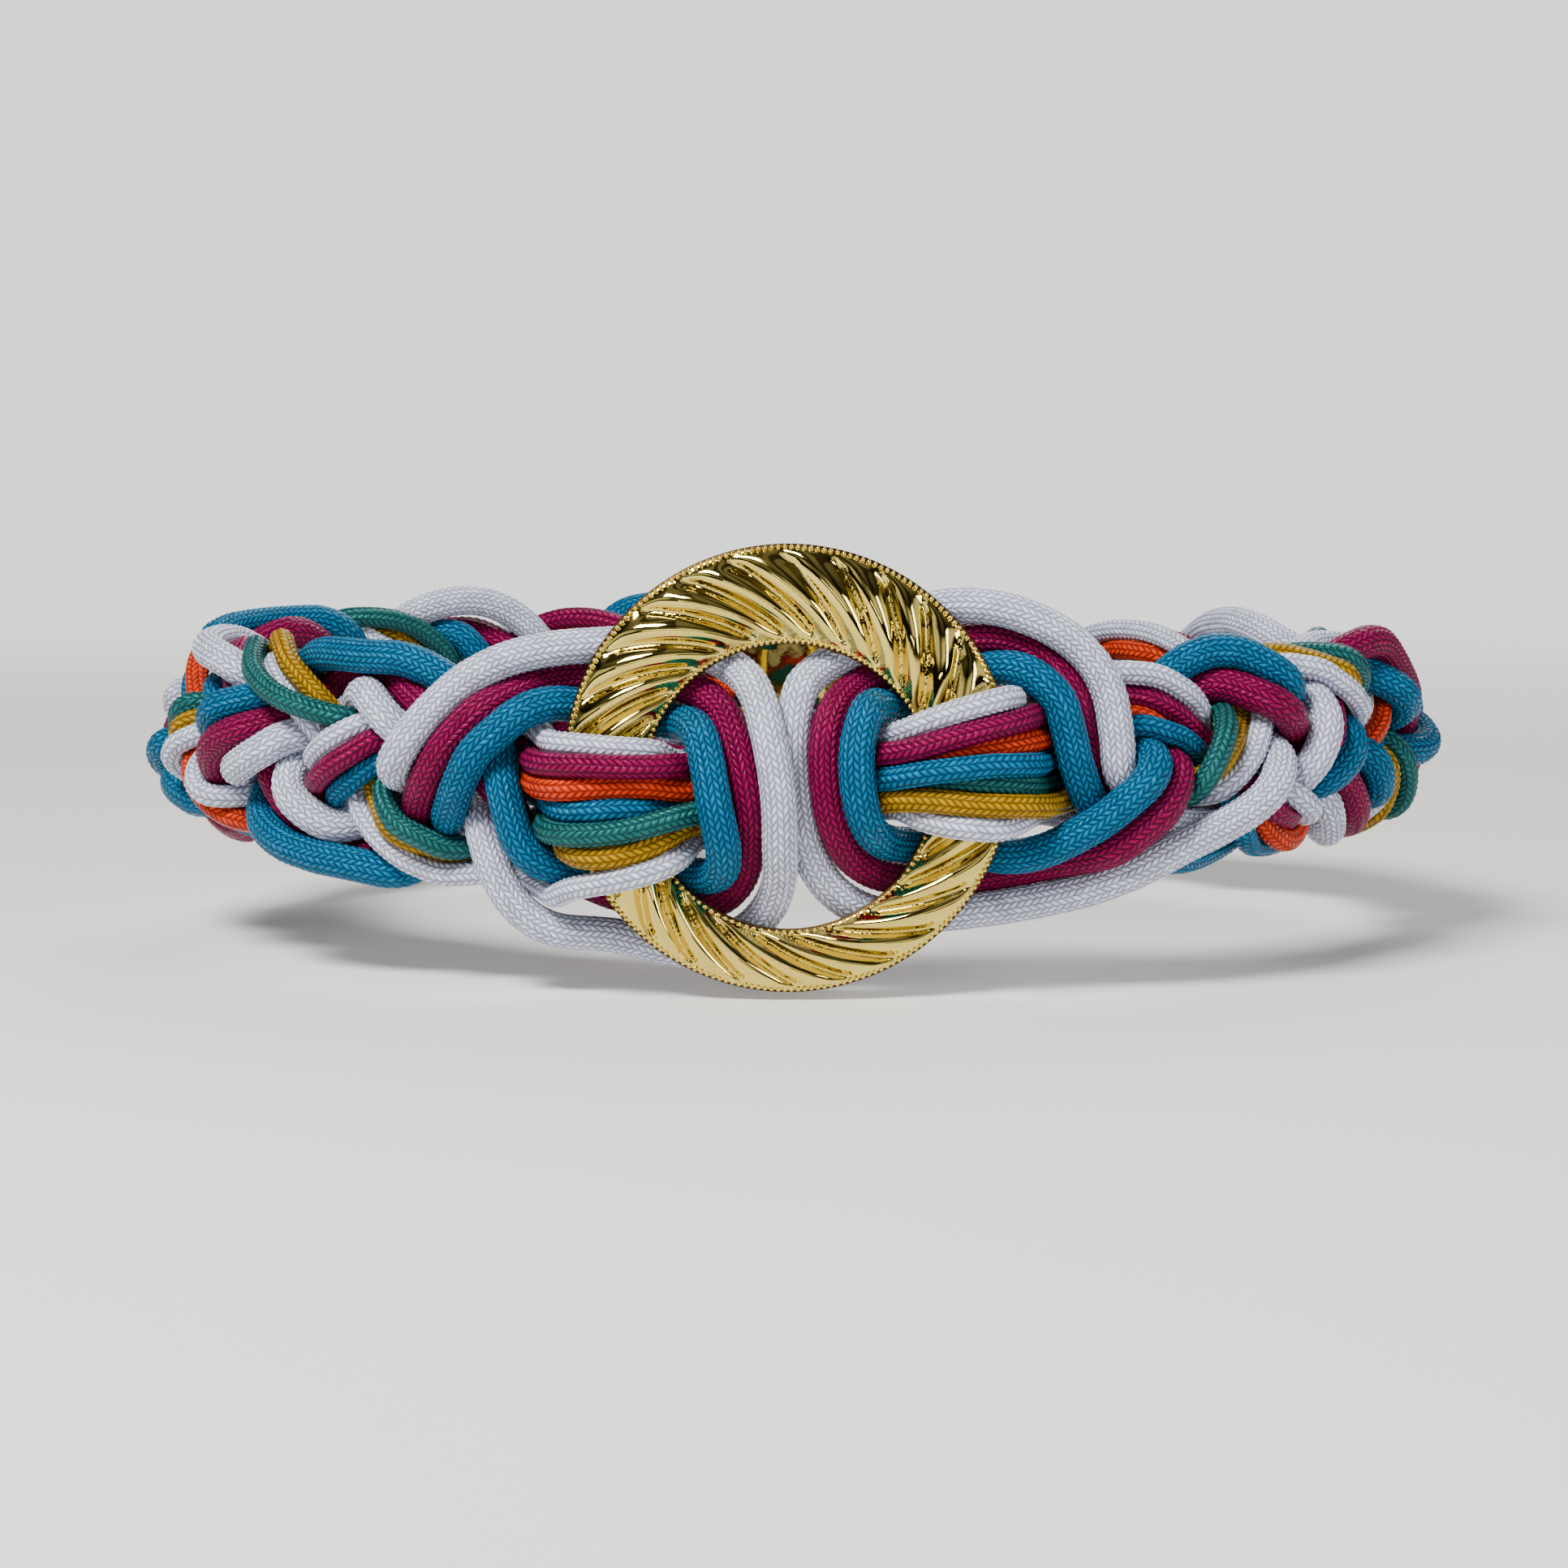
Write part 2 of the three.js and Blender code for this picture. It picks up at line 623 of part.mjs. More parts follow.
// A block with rounded long edges, its length along X
function roundedBlock(length, depth, height, corner) {
  const shape = new THREE.Shape();
  const [x, y, r] = [depth / 2, height / 2, corner];
  shape.moveTo(-x + r, -y).lineTo(x - r, -y).absarc(x - r, -y + r, r, -Math.PI / 2, 0, false);
  shape.lineTo(x, y - r).absarc(x - r, y - r, r, 0, Math.PI / 2, false);
  shape.lineTo(-x + r, y).absarc(-x + r, y - r, r, Math.PI / 2, Math.PI, false);
  shape.lineTo(-x, -y + r).absarc(-x + r, -y + r, r, Math.PI, 1.5 * Math.PI, false);
  const geometry = new THREE.ExtrudeGeometry(shape, { depth: length, bevelEnabled: false, curveSegments: 5 });
  geometry.translate(0, 0, -length / 2).rotateX(Math.PI / 2).rotateZ(Math.PI / 2);
  return geometry;
}

const wasm = await Module();
wasm.setup();

function toSolid(geometry) {
  geometry.deleteAttribute("normal");
  geometry.deleteAttribute("uv");
  const merged = mergeVertices(geometry, 1e-4);
  return new wasm.Manifold(
    new wasm.Mesh({
      numProp: 3,
      vertProperties: merged.getAttribute("position").array,
      triVerts: new Uint32Array(merged.index.array),
    }),
  );
}

function fromSolid(solid) {
  const { vertProperties, triVerts } = solid.getMesh();
  const geometry = new THREE.BufferGeometry();
  geometry.setAttribute("position", new THREE.Float32BufferAttribute(vertProperties, 3));
  geometry.setIndex(new THREE.Uint32BufferAttribute(triVerts, 1));
  geometry.computeVertexNormals();
  return geometry;
}

function sleeveMesh() {
  const depth = pocket.depth + 2 * sleeveWall;
  const height = pocket.height + 2 * sleeveWall;
  let solid = toSolid(roundedBlock(2 * sleeveHalf, depth, height, pocketCorner + sleeveWall));
  for (const side of [-1, 1]) {
    const hollow = roundedBlock(2 * pocketDepth, pocket.depth, pocket.height, pocketCorner);
    hollow.translate(side * (sleeveWeb / 2 + pocketDepth), 0, 0);
    solid = solid.subtract(toSolid(hollow));
  }
  const mesh = namedMesh("sleeve", fromSolid(solid), gold);
  mesh.position.set(0, halfWaist.y + sleeveOut, 0);
  return mesh;
}

const belt = new THREE.Group();
const cords = drawCords();
settle(cords);
belt.add(ringMesh(), sleeveMesh(), ...cords.map(cordMesh));

export default belt;
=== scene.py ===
# Rope belt as it is worn: braided cords in two flat plaits, a fluted gold ring in front, a sleeve behind
import math

import bmesh
import bpy
import numpy as np
from mathutils import Matrix, Vector
from mathutils.bvhtree import BVHTree
from mathutils.kdtree import KDTree


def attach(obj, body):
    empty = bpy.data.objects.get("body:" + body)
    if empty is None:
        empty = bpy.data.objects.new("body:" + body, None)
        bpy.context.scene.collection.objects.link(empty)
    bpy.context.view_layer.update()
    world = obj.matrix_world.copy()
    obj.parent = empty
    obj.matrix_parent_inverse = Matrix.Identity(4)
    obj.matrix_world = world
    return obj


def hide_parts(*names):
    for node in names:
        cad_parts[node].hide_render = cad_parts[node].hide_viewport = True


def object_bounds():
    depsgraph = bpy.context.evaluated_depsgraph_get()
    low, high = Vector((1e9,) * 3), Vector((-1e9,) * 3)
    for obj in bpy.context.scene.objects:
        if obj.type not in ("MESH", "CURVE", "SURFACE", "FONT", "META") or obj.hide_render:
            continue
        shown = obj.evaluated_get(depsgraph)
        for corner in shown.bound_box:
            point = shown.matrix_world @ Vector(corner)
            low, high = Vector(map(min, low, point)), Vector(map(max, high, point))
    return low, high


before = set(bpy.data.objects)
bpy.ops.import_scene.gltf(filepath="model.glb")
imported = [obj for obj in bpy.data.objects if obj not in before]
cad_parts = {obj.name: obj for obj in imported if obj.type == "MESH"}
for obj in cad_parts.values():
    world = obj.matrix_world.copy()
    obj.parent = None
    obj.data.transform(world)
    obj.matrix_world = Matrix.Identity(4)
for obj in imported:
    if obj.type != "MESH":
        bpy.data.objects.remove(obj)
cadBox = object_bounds()
scene = bpy.context.scene
randomHeights = np.random.default_rng(7)
print("frame loaded")


# Objects and meshes
weld = {"solid": 1e-5, "surface": 1e-6}  # vertices nearer than this become one


def addObject(name, data):
    made = bpy.data.objects.new(name, data)
    scene.collection.objects.link(made)
    return made


def meshOf(name, surface):
    mesh = bpy.data.meshes.new(name)
    surface.to_mesh(mesh)
    surface.free()
    return mesh


# A flat grid, and how far each vertex lies across and along it, as shares
def gridMesh(name, across, along):
    surface = bmesh.new()
    bmesh.ops.create_grid(surface, x_segments=across, y_segments=along, size=0.5)
    mesh = meshOf(name, surface)
    flat = np.zeros(len(mesh.vertices) * 3)
    mesh.vertices.foreach_get("co", flat)
    flat = flat.reshape(-1, 3) + 0.5
    return mesh, flat[:, 0], flat[:, 1]


def solidOf(node):
    solid = bmesh.new()
    solid.from_mesh(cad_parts[node].data)
    bmesh.ops.remove_doubles(solid, verts=solid.verts, dist=weld["solid"])
    return solid


def smoothFaces(faces):
    for face in faces:
        face.smooth = True


# Node trees
def setSocket(tree, socket, value):
    if isinstance(value, bpy.types.NodeSocket):
        tree.links.new(value, socket)
    else:
        socket.default_value = value


def addMath(tree, operation, *values):
    node = tree.nodes.new("ShaderNodeMath")
    node.operation = operation
    for socket, value in zip(node.inputs, values):
        setSocket(tree, socket, value)
    return node.outputs[0]


def addMix(tree, factor, first, second):
    node = tree.nodes.new("ShaderNodeMix")
    node.data_type = "RGBA"
    sockets = [s for s in node.inputs if s.enabled]
    for socket, value in zip(sockets, (factor, first, second)):
        setSocket(tree, socket, value)
    return next(s for s in node.outputs if s.enabled)


# Maps one range of values to another and stops at its ends
def addRange(tree, value, start, stop, low=0, high=1):
    node = tree.nodes.new("ShaderNodeMapRange")
    for name, number in (("From Min", start), ("From Max", stop), ("To Min", low), ("To Max", high)):
        setSocket(tree, node.inputs[name], number)
    tree.links.new(value, node.inputs["Value"])
    return node


# Spreads a value between 0 and 1 over a range
def addSpread(tree, value, low, high):
    return addMath(tree, "ADD", addMath(tree, "MULTIPLY", value, high - low), low)


def addBump(tree, shader, height, distance, strength):
    bump = tree.nodes.new("ShaderNodeBump")
    bump.inputs["Distance"].default_value = distance
    bump.inputs["Strength"].default_value = strength
    tree.links.new(height, bump.inputs["Height"])
    tree.links.new(bump.outputs[0], shader.inputs["Normal"])


# Camera and light
view = {
    "focal": 86.83,
    "sensor": 36,
    "near": 0.01,
    "distance": 0.846,
    "elevation": 6,
    "target": (0, 0, -0.012),
    "shift": -0.0026,
}


def addCamera():
    data = bpy.data.cameras.new("camera")
    data.lens = view["focal"]
    data.sensor_width = view["sensor"]
    data.shift_x = view["shift"]
    data.clip_start = view["near"]
    camera = addObject("camera", data)
    rise = math.radians(view["elevation"])
    back = Vector((0, -math.cos(rise), math.sin(rise)))
    camera.location = Vector(view["target"]) + back * view["distance"]
    camera.rotation_euler = (math.pi / 2 - rise, 0, 0)
    scene.camera = camera


lights = {
    # place, aimed at, width, height, watts, colour
    "key": ((-0.45, -0.7, 0.95), (0, -0.02, 0), 0.45, 0.35, 27, (1, 0.99, 0.97)),
    "fill": ((0.95, -0.6, 0.35), (0, -0.02, 0), 0.3, 0.6, 6, (0.96, 0.98, 1)),
    "rim": ((0.25, 0.95, 0.8), (0, 0, 0), 0.8, 0.5, 7, (1, 1, 1)),
    "strip": ((-0.1, -1.0, 0.1), (0, -0.1, 0), 0.7, 0.03, 0.7, (1, 0.99, 0.97)),
}


def addLights():
    for name, (place, aim, width, height, watts, colour) in lights.items():
        data = bpy.data.lights.new(name, "AREA")
        data.shape = "RECTANGLE"
        data.size = width
        data.size_y = height
        data.energy = watts
        data.color = colour
        light = addObject(name, data)
        light.location = place
        heading = Vector(aim) - Vector(place)
        light.rotation_euler = heading.to_track_quat("-Z", "Y").to_euler()


# The room that the gold mirrors. The camera sees one pale tone in its place.
surround = {
    "seen": (0.8, 0.79, 0.775),
    "seenStrength": 1.9,
    "strength": 0.6,
    # height of the direction, from straight down 0 to straight up 1, and its brightness
    "steps": ((0.3, 0.12), (0.46, 0.01), (0.57, 0.02), (0.61, 1.5), (0.71, 1.3), (0.76, 0.03), (0.95, 0.35)),
    "windows": 5,  # bright panels round the room
    "panelEdge": (-0.3, 0.1),  # where in a wave of -1 to 1 a panel starts, and where it is fully bright
    "between": 0.2,  # share of the brightness that is left between the panels
}


def addWorld():
    world = bpy.data.worlds.new("studio")
    world.use_nodes = True
    scene.world = world
    tree = world.node_tree
    tree.nodes.clear()
    place = tree.nodes.new("ShaderNodeTexCoord")
    split = tree.nodes.new("ShaderNodeSeparateXYZ")
    tree.links.new(place.outputs["Generated"], split.inputs[0])
    ramp = tree.nodes.new("ShaderNodeValToRGB")
    stops = ramp.color_ramp.elements
    while len(stops) < len(surround["steps"]):
        stops.new(0.5)  # its place is set below
    for stop, (level, bright) in zip(stops, surround["steps"]):
        stop.position = level
        stop.color = (bright, bright, bright, 1)
    height = addRange(tree, split.outputs["Z"], -1, 1)
    tree.links.new(height.outputs[0], ramp.inputs[0])
    turn = addMath(tree, "ARCTAN2", split.outputs["X"], split.outputs["Y"])
    wave = addMath(tree, "SINE", addMath(tree, "MULTIPLY", turn, surround["windows"]))
    full = surround["strength"]
    panels = addRange(tree, wave, *surround["panelEdge"], surround["between"] * full, full)
    lit = tree.nodes.new("ShaderNodeBackground")
    tree.links.new(panels.outputs[0], lit.inputs["Strength"])
    tree.links.new(ramp.outputs["Color"], lit.inputs["Color"])
    seen = tree.nodes.new("ShaderNodeBackground")
    seen.inputs["Color"].default_value = (*surround["seen"], 1)
    seen.inputs["Strength"].default_value = surround["seenStrength"]
    rays = tree.nodes.new("ShaderNodeLightPath")
    mix = tree.nodes.new("ShaderNodeMixShader")
    tree.links.new(rays.outputs["Is Camera Ray"], mix.inputs[0])
    tree.links.new(lit.outputs[0], mix.inputs[1])
    tree.links.new(seen.outputs[0], mix.inputs[2])
    out = tree.nodes.new("ShaderNodeOutputWorld")
    tree.links.new(mix.outputs[0], out.inputs["Surface"])


# Materials
def linear(red, green, blue):
    def channel(value):
        share = value / 255
        return share / 12.92 if share <= 0.04045 else ((share + 0.055) / 1.055) ** 2.4

    return (channel(red), channel(green), channel(blue), 1)


def newMaterial(name):
    material = bpy.data.materials.new(name)
    material.use_nodes = True
    shader = material.node_tree.nodes["Principled BSDF"]
    return material, material.node_tree, shader


braid = {
    "lean": 0.8,  # pitches that a float runs along the cord between its column's two borders
    "sideFall": 2.5,  # power with which painted shade darkens a float towards its column's borders, where its bump height falls too
    "fibres": 4,
    "fibreShare": 0.04,
}


# Reads the braid's own coordinates: columns round the cord and pitches along it
def makeBraidGroup():
    group = bpy.data.node_groups.new("braidFloats", "ShaderNodeTree")
    for name in ("Shade", "Tint", "Glint", "Height"):
        group.interface.new_socket(name=name, in_out="OUTPUT", socket_type="NodeSocketFloat")

    def reckon(operation, *values):
        return addMath(group, operation, *values)

    place = group.nodes.new("ShaderNodeUVMap")
    place.uv_map = "braid"
    split = group.nodes.new("ShaderNodeSeparateXYZ")
    group.links.new(place.outputs[0], split.inputs[0])
    around, along = split.outputs["X"], split.outputs["Y"]
    column = reckon("FLOOR", around)
    across = reckon("SUBTRACT", reckon("SUBTRACT", around, column), 0.5)
    odd = reckon("MODULO", column, 2)
    turn = reckon("SUBTRACT", 1, reckon("MULTIPLY", odd, 2))
    lean = reckon("MULTIPLY", reckon("MULTIPLY", across, turn), braid["lean"])
    half = reckon("MULTIPLY", odd, 0.5)  # neighbouring columns interleave
    step = reckon("ADD", reckon("ADD", along, lean), half)
    row = reckon("FLOOR", step)
    part = reckon("SUBTRACT", step, row)
    # a float's hump, falling off at its column's borders: painted shade between the floats in the colour,
    # and the height of the bump
    hump = reckon("SINE", reckon("MULTIPLY", part, math.pi))
    side = reckon("POWER", reckon("MULTIPLY", reckon("ABSOLUTE", across), 2), braid["sideFall"])
    shade = reckon("MULTIPLY", hump, reckon("SUBTRACT", 1, side))
    cell = group.nodes.new("ShaderNodeCombineXYZ")
    group.links.new(column, cell.inputs["X"])
    group.links.new(row, cell.inputs["Y"])
    noise = group.nodes.new("ShaderNodeTexWhiteNoise")
    noise.noise_dimensions = "3D"
    group.links.new(cell.outputs[0], noise.inputs["Vector"])
    parts = group.nodes.new("ShaderNodeSeparateColor")
    group.links.new(noise.outputs["Color"], parts.inputs[0])
    fibre = reckon("SINE", reckon("MULTIPLY", part, 2 * math.pi * braid["fibres"]))
    relief = reckon("ADD", shade, reckon("MULTIPLY", fibre, braid["fibreShare"]))
    out = group.nodes.new("NodeGroupOutput")
    group.links.new(shade, out.inputs["Shade"])
    group.links.new(parts.outputs["Red"], out.inputs["Tint"])
    group.links.new(parts.outputs["Green"], out.inputs["Glint"])
    group.links.new(relief, out.inputs["Height"])
    return group


braidColours = {
    # lit yarn, yarn with painted shade in the grooves between floats
    "white": ((232, 237, 255), (128, 130, 154)),
    "magenta": ((140, 0, 72), (48, 0, 24)),
    "blue": ((0, 112, 156), (0, 38, 64)),
    "orange": ((228, 61, 12), (108, 17, 5)),
    "teal": ((28, 98, 97), (6, 38, 42)),
    "yellow": ((180, 138, 0), (86, 56, 0)),
}
braidFinish = {
    "value": (0.8, 1.14),  # brightness of single floats
    "roughness": (0.25, 0.48),
    "specular": 0.42,
    "tint": 0.85,  # the yarn's shine takes this share of its colour
    "relief": 0.00026,
    "strength": 1,
}


def makeBraidMaterials():
    group = makeBraidGroup()
    materials = {}
    for name, (lit, paintedGrooveShade) in braidColours.items():
        material, tree, shader = newMaterial("braid_" + name)
        floats = tree.nodes.new("ShaderNodeGroup")
        floats.node_tree = group
        # painted shade: each float darkens from its lit colour to its shaded groove colour towards its edges
        tone = addMix(tree, floats.outputs["Shade"], linear(*paintedGrooveShade), linear(*lit))
        value = addSpread(tree, floats.outputs["Tint"], *braidFinish["value"])
        rough = addSpread(tree, floats.outputs["Glint"], *braidFinish["roughness"])
        hsv = tree.nodes.new("ShaderNodeHueSaturation")
        tree.links.new(value, hsv.inputs["Value"])
        tree.links.new(tone, hsv.inputs["Color"])
        tree.links.new(hsv.outputs[0], shader.inputs["Base Color"])
        tree.links.new(rough, shader.inputs["Roughness"])
        shader.inputs["Specular IOR Level"].default_value = braidFinish["specular"]
        share = braidFinish["tint"]
        yarn = linear(*lit)[:3]
        tint = [1 - share + share * c / max(yarn) for c in yarn]
        shader.inputs["Specular Tint"].default_value = (*tint, 1)
        addBump(tree, shader, floats.outputs["Height"], braidFinish["relief"], braidFinish["strength"])
        materials[name] = material
    return materials


goldFinish = {"bright": (222, 199, 104), "dull": (150, 120, 48), "roughness": (0.05, 0.16)}
# darker, rougher gold for the edge strips under the beads: painted shade in the gaps between the beads
beadGapShade = {"bright": (84, 58, 24), "dull": (30, 18, 6), "roughness": (0.4, 0.6)}
goldWear = {
    "patches": (90, 4),  # scale and detail of the noise
    "patchEdge": (0.58, 0.75),  # where in the noise a dull patch starts, and where it is full
    "dulled": 0.5,
    "waves": (260, 2),
    "relief": 0.0001,
    "strength": 0.35,
}


# Gold plating: dull patches and slight waves on a mirror finish
def makeGold(name, finish):
    material, tree, shader = newMaterial(name)
    place = tree.nodes.new("ShaderNodeTexCoord").outputs["Object"]

    def noise(scale, detail):
        node = tree.nodes.new("ShaderNodeTexNoise")
        node.inputs["Scale"].default_value = scale
        node.inputs["Detail"].default_value = detail
        tree.links.new(place, node.inputs["Vector"])
        return node.outputs["Fac"]

    spots = addRange(tree, noise(*goldWear["patches"]), *goldWear["patchEdge"]).outputs[0]
    wear = addMath(tree, "MULTIPLY", spots, goldWear["dulled"])
    tone = addMix(tree, wear, linear(*finish["bright"]), linear(*finish["dull"]))
    tree.links.new(tone, shader.inputs["Base Color"])
    tree.links.new(addSpread(tree, spots, *finish["roughness"]), shader.inputs["Roughness"])
    shader.inputs["Metallic"].default_value = 1
    addBump(tree, shader, noise(*goldWear["waves"]), goldWear["relief"], goldWear["strength"])
    return material


# Cords
cordShape = {
    "thick": {"radius": 0.00354, "columns": 18, "pitch": 0.00155, "crest": 0.00011, "groove": 0.00013},
    "thin": {"radius": 0.00245, "columns": 10, "pitch": 0.00145, "crest": 0.0001, "groove": 0.00011},
}
cordRelief = {"crests": (0.55, 1.25), "border": 0.35}  # shares of the crest, and of the groove at a border
settling = {
    "step": 0.0026,
    "rounds": 90,
    "tension": 0.42,
    "pull": 0.02,
    "bightPull": 0.045,  # near the ring
    "near": 0.055,  # how far to each side that is
    "squeeze": 0.1,  # the plait is drawn lower away from the ring
    "squeezeFrom": 0.045,
    "squeezeTo": 0.08,
    "squeezeBack": 0.06,
    "gather": 0.25,  # the thin cords of one side run closer together in front of the ring
    "gatherFrom": 0.042,
    "gatherTo": 0.068,
    "passes": 3,
    "search": 6,  # rounds between two searches for neighbours
    "reach": 0.002,
    "gap": 0.00003,
    "skip": 5,  # points of one cord nearer than this in its own order are not neighbours
    "tail": 7,  # points at each end that stay in the sleeve
}
waist = {"x": 0.1155, "y": 0.085}
endPlane = 0.0026  # the cords' ends lie this near the middle of the sleeve
curveSamples = 24  # of the smooth curve, from each point to the next


# Middles of a cord's sections, read from its CAD solid from one end to the other
def sectionMiddles(node):
    solid = solidOf(node)
    ends = {v for v in solid.verts if v.co.y > 0 and abs(v.co.x) < endPlane}
    layer = {min(ends, key=lambda v: (v.co.z, v.co.y))}
    while True:
        wider = layer | {e.other_vert(v) for v in layer for e in v.link_edges if e.other_vert(v) in ends}
        if wider == layer:
            break
        layer = wider
    seen, middles = set(layer), []
    while layer:
        # sorted, because a set's order and with it the sum's rounding would change from run to run
        middles.append(np.mean(sorted(tuple(v.co) for v in layer), axis=0))
        layer = {e.other_vert(v) for v in layer for e in v.link_edges} - seen
        seen |= layer
    solid.free()
    return np.array(middles)


# Smooth curve through the points, at equal steps
def smoothCurve(points, step):
    last = len(points) - 1
    padded = np.vstack([2 * points[0] - points[1], points, 2 * points[last] - points[last - 1]])
    share = np.linspace(0, 1, curveSamples, endpoint=False)[:, None]
    runs = []
    for i in range(last):
        a, b, c, d = padded[i : i + 4]
        runs.append(0.5 * (2 * b + (c - a) * share + (2 * a - 5 * b + 4 * c - d) * share**2
                           + (3 * b - a - 3 * c + d) * share**3))
    dense = np.vstack([*runs, points[last:]])
    lengths = np.concatenate([[0], np.cumsum(np.linalg.norm(np.diff(dense, axis=0), axis=1))])
    count = max(2, round(lengths[-1] / step))
    places = np.linspace(0, lengths[-1], count + 1)
    return valuesAt(places, lengths, dense)


# Rows of a table read at places between those that its rows are known for
def valuesAt(places, known, table):
    return np.stack([np.interp(places, known, table[:, k]) for k in range(3)], axis=1)


# Lets the cords ease out of the solids' straight steps and press against each other
def settleCords(cords):
    counts = [len(cord["line"]) for cord in cords]
    points = np.vstack([cord["line"] for cord in cords])
    radii = np.repeat([cord["shape"]["radius"] for cord in cords], counts)
    owner = np.repeat(np.arange(len(cords)), counts)
    place = np.concatenate([np.arange(count) for count in counts])
    toEnd = np.repeat(counts, counts) - place
    free = np.where((place >= settling["tail"]) & (toEnd > settling["tail"]))[0]
    squeezePlait(points)
    home = points.copy()
    gatherThin(home, radii)
    solid = solidOf("ring")
    ring = BVHTree.FromBMesh(solid)
    solid.free()
    near = [i for i in free if points[i, 1] < 0 and abs(points[i, 0]) < settling["near"]]
    pull = np.full((len(points), 1), settling["pull"])
    pull[near] = settling["bightPull"]
    for turn in range(settling["rounds"]):
        if turn % settling["search"] == 0:
            pairs = touchingPairs(points, radii, owner, place)
        middle = (points[free - 1] + points[free + 1]) / 2
        points[free] += (middle - points[free]) * settling["tension"]
        points[free] += (home[free] - points[free]) * pull[free]
        for _ in range(settling["passes"]):
            pushCords(points, radii, pairs, free)
            keepOffRing(points, radii, near, ring)
            keepOffWaist(points, radii, free)
    for cord, line in zip(cords, np.split(points, np.cumsum(counts)[:-1])):
        cord["line"] = line


def squeezePlait(points):
    low, high = settling["squeezeFrom"], settling["squeezeTo"]
    share = np.clip((np.abs(points[:, 0]) - low) / (high - low), 0, 1)
    share *= np.clip((settling["squeezeBack"] - points[:, 1]) / (high - low), 0, 1)
    points[:, 2] *= 1 - settling["squeeze"] * share


def gatherThin(home, radii):
    low, high = settling["gatherFrom"], settling["gatherTo"]
    thin = (radii < cordShape["thick"]["radius"]) & (home[:, 1] < -waist["y"] / 2)
    for side in (-1, 1):
        here = thin & (home[:, 0] * side > 0) & (np.abs(home[:, 0]) < high)
        fade = np.clip((high - np.abs(home[here, 0])) / (high - low), 0, 1)
        middle = home[here, 2].mean()
        home[here, 2] += (middle - home[here, 2]) * settling["gather"] * fade


def touchingPairs(points, radii, owner, place):
    tree = KDTree(len(points))
    for i, point in enumerate(points):
        tree.insert(point, i)
    tree.balance()
    pairs = []
    widest = radii.max()
    for i, point in enumerate(points):
        for _, j, distance in tree.find_range(point, radii[i] + widest + settling["reach"]):
            if j <= i or distance > radii[i] + radii[j] + settling["reach"]:
                continue
            if owner[i] != owner[j] or place[j] - place[i] >= settling["skip"]:
                pairs.append((i, j))
    return np.array(pairs)


def pushCords(points, radii, pairs, free):
    first, second = pairs[:, 0], pairs[:, 1]
    apart = points[first] - points[second]
    distance = np.maximum(np.linalg.norm(apart, axis=1), 1e-6)  # never a division by nothing
    short = radii[first] + radii[second] + settling["gap"] - distance
    hit = short > 0
    first, second = first[hit], second[hit]
    push = apart[hit] / distance[hit, None] * (short[hit, None] / 2)
    move = np.zeros_like(points)
    hits = np.zeros(len(points))
    np.add.at(move, first, push)
    np.add.at(move, second, -push)
    np.add.at(hits, first, 1)
    np.add.at(hits, second, 1)
    move /= np.maximum(1, np.sqrt(hits))[:, None]
    points[free] += move[free]


def keepOffRing(points, radii, near, ring):
    for i in near:
        place, normal, _, distance = ring.find_nearest(Vector(points[i]), radii[i])
        if place is None:
            continue
        outwards = Vector(points[i]) - place
        if outwards.dot(normal) < 0:
            points[i] += np.array(normal) * (radii[i] + distance)
        else:
            points[i] += np.array(outwards.normalized()) * (radii[i] - distance)


def keepOffWaist(points, radii, free):
    x, y = points[free, 0], points[free, 1]
    level = np.hypot(x / waist["x"], y / waist["y"])
    slope = np.stack([x / waist["x"] ** 2, y / waist["y"] ** 2], axis=1)
    steep = np.linalg.norm(slope, axis=1)
    short = radii[free] - (level - 1) * level / steep
    points[free, :2] += slope / steep[:, None] * np.maximum(short, 0)[:, None]


# Two directions across the line at each point, which turn round it as little as they can
def lineFrames(line):
    tangents = np.gradient(line, axis=0)
    tangents /= np.linalg.norm(tangents, axis=1)[:, None]
    sides = np.zeros_like(line)
    side = np.cross(tangents[0], (0, 0, 1))
    for i, tangent in enumerate(tangents):
        side = side - tangent * np.dot(side, tangent)
        side /= np.linalg.norm(side)
        sides[i] = side
    return sides, np.cross(tangents, sides)


